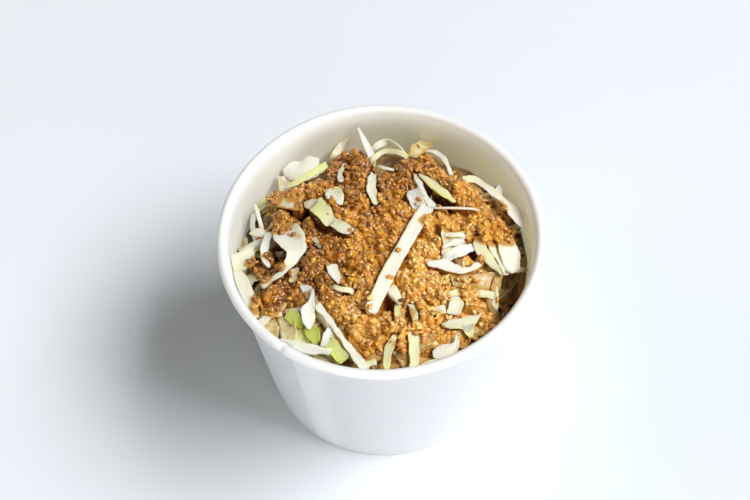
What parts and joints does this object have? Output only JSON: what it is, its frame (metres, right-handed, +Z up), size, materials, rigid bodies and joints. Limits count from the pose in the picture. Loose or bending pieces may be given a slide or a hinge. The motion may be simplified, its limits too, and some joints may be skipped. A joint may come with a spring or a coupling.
{
  "type": "cup of salad with sesame dressing",
  "caption": "Round white paper cup heaped with shredded cabbage salad under a thick sesame dressing, for serving and eating from.",
  "frame": {"origin": "middle of the cup's foot ring, on the surface it stands on", "axes": "+Z up along the cup's axis, -Y towards the viewer of the picture, +X to the viewer's right"},
  "size_m": [0.115, 0.115, 0.0859],
  "materials": {
    "white_paper": "coated white paper board, faint satin sheen",
    "cabbage": "raw cabbage, white ribs to pale green leaf, moist",
    "sesame_dressing": "amber-tan paste of whole and crushed sesame, wet gloss"
  },
  "bodies": {
    "root": {"tub_wall": "white_paper", "tub_floor": "white_paper", "cabbage_salad": "cabbage", "sesame_dressing": "sesame_dressing"}
  },
  "joints": []
}
